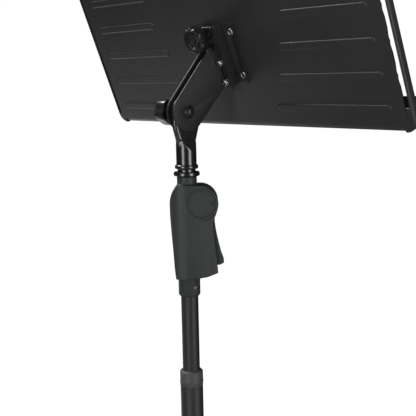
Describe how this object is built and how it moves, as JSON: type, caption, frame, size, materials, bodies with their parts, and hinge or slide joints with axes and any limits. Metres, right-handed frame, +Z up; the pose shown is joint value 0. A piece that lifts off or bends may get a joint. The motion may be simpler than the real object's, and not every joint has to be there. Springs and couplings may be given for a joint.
{
  "type": "music stand",
  "caption": "Upright music stand with a ribbed sheet-metal desk and tray on a tilting, swivelling arm, a squeeze-grip height clutch and a folding tripod base.",
  "frame": {"origin": "on the floor, where the axis of the stand's tube meets it", "axes": "+Z up along the tube; the reader stands at -Y and looks towards +Y, so +X is the reader's right"},
  "size_m": [0.5144, 0.4454, 1.2206],
  "materials": {
    "desk_coat": "fine-grained matte black powder coat",
    "arm_coat": "textured satin black powder coat",
    "gloss_coat": "gloss black lacquer",
    "tube_coat": "semi-gloss black powder coat",
    "black_steel": "blackened steel, semi-gloss",
    "knob_plastic": "black moulded plastic, slightly glossy",
    "grip_plastic": "fine-grained matte dark grey plastic",
    "badge_plastic": "matte dark grey plastic disc",
    "collar_plastic": "matte dark grey plastic",
    "hub_plastic": "matte black plastic",
    "foot_rubber": "matte black rubber",
    "shoe_brass": "dull brass",
    "zinc": "bright zinc plating"
  },
  "bodies": {
    "base": {"hub": "hub_plastic", "hub_screws": "zinc", "leg_pins": "zinc", "lower_tube": "tube_coat", "tube_plug": "hub_plastic", "guide_collar": "collar_plastic"},
    "leg_f": {"leg_front": "tube_coat", "foot_front": "foot_rubber"},
    "leg_l": {"leg_left": "tube_coat", "foot_left": "foot_rubber"},
    "leg_r": {"leg_right": "tube_coat", "foot_right": "foot_rubber"},
    "column": {"shaft": "gloss_coat", "clutch_body": "zinc", "clutch_shoes": "shoe_brass", "grip_core": "arm_coat", "grip_left": "grip_plastic", "grip_right": "grip_plastic", "badge": "badge_plastic", "grip_screws": "zinc", "set_screw": "zinc", "trigger_pin": "zinc", "trigger_spring": "zinc", "swivel_spindle": "zinc"},
    "trigger_lever": {"trigger": "grip_plastic"},
    "rod": {"pull_rod": "zinc", "clutch_wedge": "zinc"},
    "neck": {"neck_tube": "gloss_coat", "ring_collar": "gloss_coat"},
    "arm": {"tilt_arm": "arm_coat", "pivot_bolt": "black_steel", "handle_washer": "zinc", "plate_screws": "zinc", "plate_washers": "zinc", "plate_nuts": "zinc", "desk_bracket": "arm_coat", "bracket_rivets": "zinc", "desk_panel": "desk_coat", "clamp_nut": "zinc"},
    "handle": {"tilt_handle": "knob_plastic", "handle_insert": "zinc"},
    "thumb": {"thumb_knob": "knob_plastic", "thumb_stud": "zinc"}
  },
  "joints": [
    {"name": "leg_front_fold", "type": "hinge", "parent": "base", "child": "leg_f", "pos_m": [0, -0.031, 0.066], "axis": [-1, 0, 0], "range_deg": [-75, 0]},
    {"name": "leg_left_fold", "type": "hinge", "parent": "base", "child": "leg_l", "pos_m": [-0.02685, 0.0155, 0.066], "axis": [0.5, 0.866, 0], "range_deg": [-75, 0]},
    {"name": "leg_right_fold", "type": "hinge", "parent": "base", "child": "leg_r", "pos_m": [0.02685, 0.0155, 0.066], "axis": [0.5, -0.866, 0], "range_deg": [-75, 0]},
    {"name": "height_slide", "type": "slide", "parent": "base", "child": "column", "axis": [0, 0, 1], "range_m": [-0.088, 0.3]},
    {"name": "desk_swivel", "type": "hinge", "parent": "column", "child": "neck", "pos_m": [0, 0, 0.8585], "axis": [0, 0, 1], "continuous": true},
    {"name": "desk_tilt", "type": "hinge", "parent": "neck", "child": "arm", "pos_m": [0, 0, 0.9188], "axis": [1, 0, 0], "range_deg": [-75, 35]},
    {"name": "handle_turn", "type": "hinge", "parent": "arm", "child": "handle", "pos_m": [0.025, 0, 0.9188], "axis": [1, 0, 0], "range_deg": [0, 360]},
    {"name": "thumb_turn", "type": "hinge", "parent": "arm", "child": "thumb", "pos_m": [0, -0.01714, 0.99972], "axis": [0, 0.9336, -0.3584], "range_deg": [0, 540]},
    {"name": "trigger_squeeze", "type": "hinge", "parent": "column", "child": "trigger_lever", "pos_m": [-0.01864, -0.02221, 0.8155], "axis": [0.766, -0.6428, 0], "range_deg": [0, 5.4]},
    {"name": "rod_pull", "type": "slide", "parent": "column", "child": "rod", "axis": [0, 0, 1], "range_m": [0, 0.0025], "stiffness_N_per_m": 1500, "springref_m": -0.003, "deforming": ["trigger_spring"]}
  ],
  "couplings": [
    {"joint": "trigger_squeeze", "follows": "rod_pull", "rad_per_m": 34.48}
  ]
}
